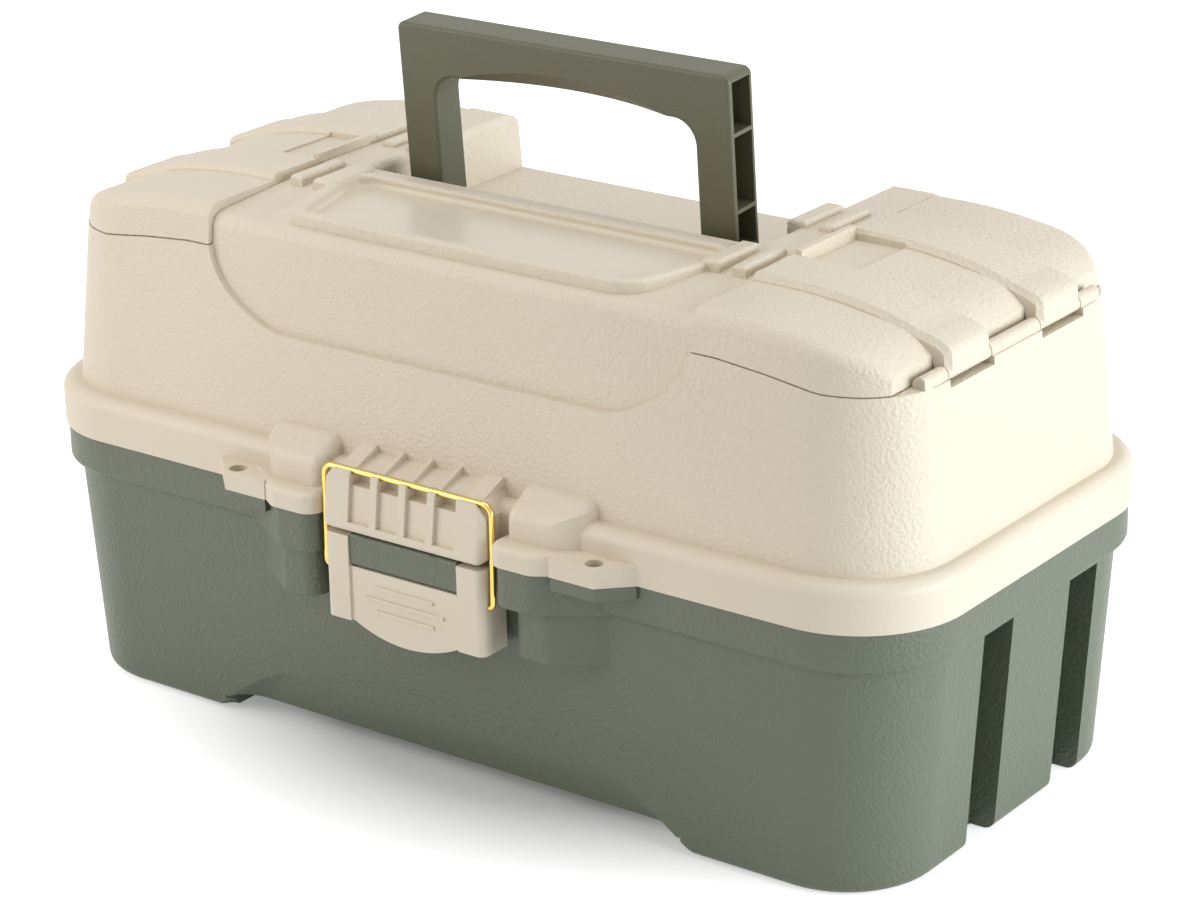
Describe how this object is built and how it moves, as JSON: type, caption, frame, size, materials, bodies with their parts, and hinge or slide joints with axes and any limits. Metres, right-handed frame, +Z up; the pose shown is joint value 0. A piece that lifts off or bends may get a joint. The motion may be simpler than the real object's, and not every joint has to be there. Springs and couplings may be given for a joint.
{
  "type": "tackle box",
  "caption": "Two-part moulded tackle box with a hinged lid, fold-down handle, wire-bail latch, lidded end bins in the top and cantilever trays that swing out with the lid.",
  "frame": {"origin": "on the surface it stands on, under the middle of the whole case", "axes": "+X to the right along the length, -Y is the front with the latch, +Z up"},
  "size_m": [0.508, 0.277, 0.3313],
  "materials": {
    "base_plastic": "fine leather grain, grey-green",
    "lid_plastic": "fine leather grain, sandstone",
    "latch_plastic": "smooth satin, sandstone",
    "handle_plastic": "satin, dark olive",
    "brass_wire": "bright drawn wire",
    "steel": "plain",
    "arm_metal": "plain sheet",
    "tray_plastic": "satin, sandstone",
    "divider_plastic": "satin, sandstone"
  },
  "bodies": {
    "base": {"base_tub": "base_plastic", "lid_hinge_pins": "steel", "latch_pivot_pin": "steel", "arm_base_rivets": "steel"},
    "lid": {"lid_shell": "lid_plastic", "handle_pins": "steel", "cover_hinge_pin_left": "steel", "cover_hinge_pin_right": "steel", "lid_link_rivets": "steel"},
    "lever": {"latch_lever": "latch_plastic"},
    "bail": {"latch_bail": "brass_wire"},
    "handle": {"carry_handle": "handle_plastic"},
    "cover_left": {"top_cover_left": "lid_plastic"},
    "cover_right": {"top_cover_right": "lid_plastic"},
    "front_arms": {"front_tray_arm_left": "arm_metal", "front_tray_arm_right": "arm_metal", "arm_link_rivets": "steel"},
    "rear_arms": {"rear_tray_arm_left": "arm_metal", "rear_tray_arm_right": "arm_metal"},
    "tray_lower": {"lower_tray": "tray_plastic", "lower_tray_dividers": "divider_plastic", "lower_tray_rivets": "steel"},
    "tray_middle": {"middle_tray": "tray_plastic", "middle_tray_dividers": "divider_plastic", "middle_tray_rivets": "steel"},
    "tray_upper": {"upper_tray": "tray_plastic", "upper_tray_dividers": "divider_plastic", "upper_tray_rivets": "steel"},
    "lid_links": {"lid_link_left": "arm_metal", "lid_link_right": "arm_metal"}
  },
  "joints": [
    {"name": "lid_hinge", "type": "hinge", "parent": "base", "child": "lid", "pos_m": [0, 0.1325, 0.128], "axis": [-1, 0, 0], "range_deg": [0, 90]},
    {"name": "lever_pivot", "type": "hinge", "parent": "base", "child": "lever", "pos_m": [0, -0.1325, 0.118], "axis": [-1, 0, 0], "range_deg": [0, 100]},
    {"name": "bail_pivot", "type": "hinge", "parent": "lever", "child": "bail", "pos_m": [0, -0.131, 0.1055], "axis": [-1, 0, 0], "range_deg": [-165, 0]},
    {"name": "handle_pivot", "type": "hinge", "parent": "lid", "child": "handle", "pos_m": [0, 0.005, 0.2375], "axis": [-1, 0, 0], "range_deg": [0, 92]},
    {"name": "cover_left_hinge", "type": "hinge", "parent": "lid", "child": "cover_left", "pos_m": [-0.2345, 0, 0.2315], "axis": [0, -1, 0], "range_deg": [0, 100]},
    {"name": "cover_right_hinge", "type": "hinge", "parent": "lid", "child": "cover_right", "pos_m": [0.2345, 0, 0.2315], "axis": [0, 1, 0], "range_deg": [0, 100]},
    {"name": "front_arm_pivot", "type": "hinge", "parent": "base", "child": "front_arms", "pos_m": [0, 0.01, 0.073], "axis": [-1, 0, 0], "range_deg": [0, 90]},
    {"name": "rear_arm_pivot", "type": "hinge", "parent": "base", "child": "rear_arms", "pos_m": [0, 0.04, 0.073], "axis": [-1, 0, 0], "range_deg": [0, 90]},
    {"name": "lower_tray_pivot", "type": "hinge", "parent": "front_arms", "child": "tray_lower", "pos_m": [0, -0.0333, 0.098], "axis": [-1, 0, 0], "range_deg": [-90, 0]},
    {"name": "middle_tray_pivot", "type": "hinge", "parent": "front_arms", "child": "tray_middle", "pos_m": [0, -0.06361, 0.1155], "axis": [-1, 0, 0], "range_deg": [-90, 0]},
    {"name": "upper_tray_pivot", "type": "hinge", "parent": "front_arms", "child": "tray_upper", "pos_m": [0, -0.09392, 0.133], "axis": [-1, 0, 0], "range_deg": [-90, 0]},
    {"name": "lid_link_pivot", "type": "hinge", "parent": "lid", "child": "lid_links", "pos_m": [0, 0.07361, 0.162], "axis": [-1, 0, 0], "range_deg": [-90, 0]}
  ],
  "couplings": [
    {"joint": "bail_pivot", "follows": "lever_pivot", "ratio": -1.6},
    {"joint": "front_arm_pivot", "follows": "lid_hinge", "ratio": 1},
    {"joint": "rear_arm_pivot", "follows": "lid_hinge", "ratio": 1},
    {"joint": "lower_tray_pivot", "follows": "lid_hinge", "ratio": -1},
    {"joint": "middle_tray_pivot", "follows": "lid_hinge", "ratio": -1},
    {"joint": "upper_tray_pivot", "follows": "lid_hinge", "ratio": -1},
    {"joint": "lid_link_pivot", "follows": "lid_hinge", "ratio": -1}
  ]
}
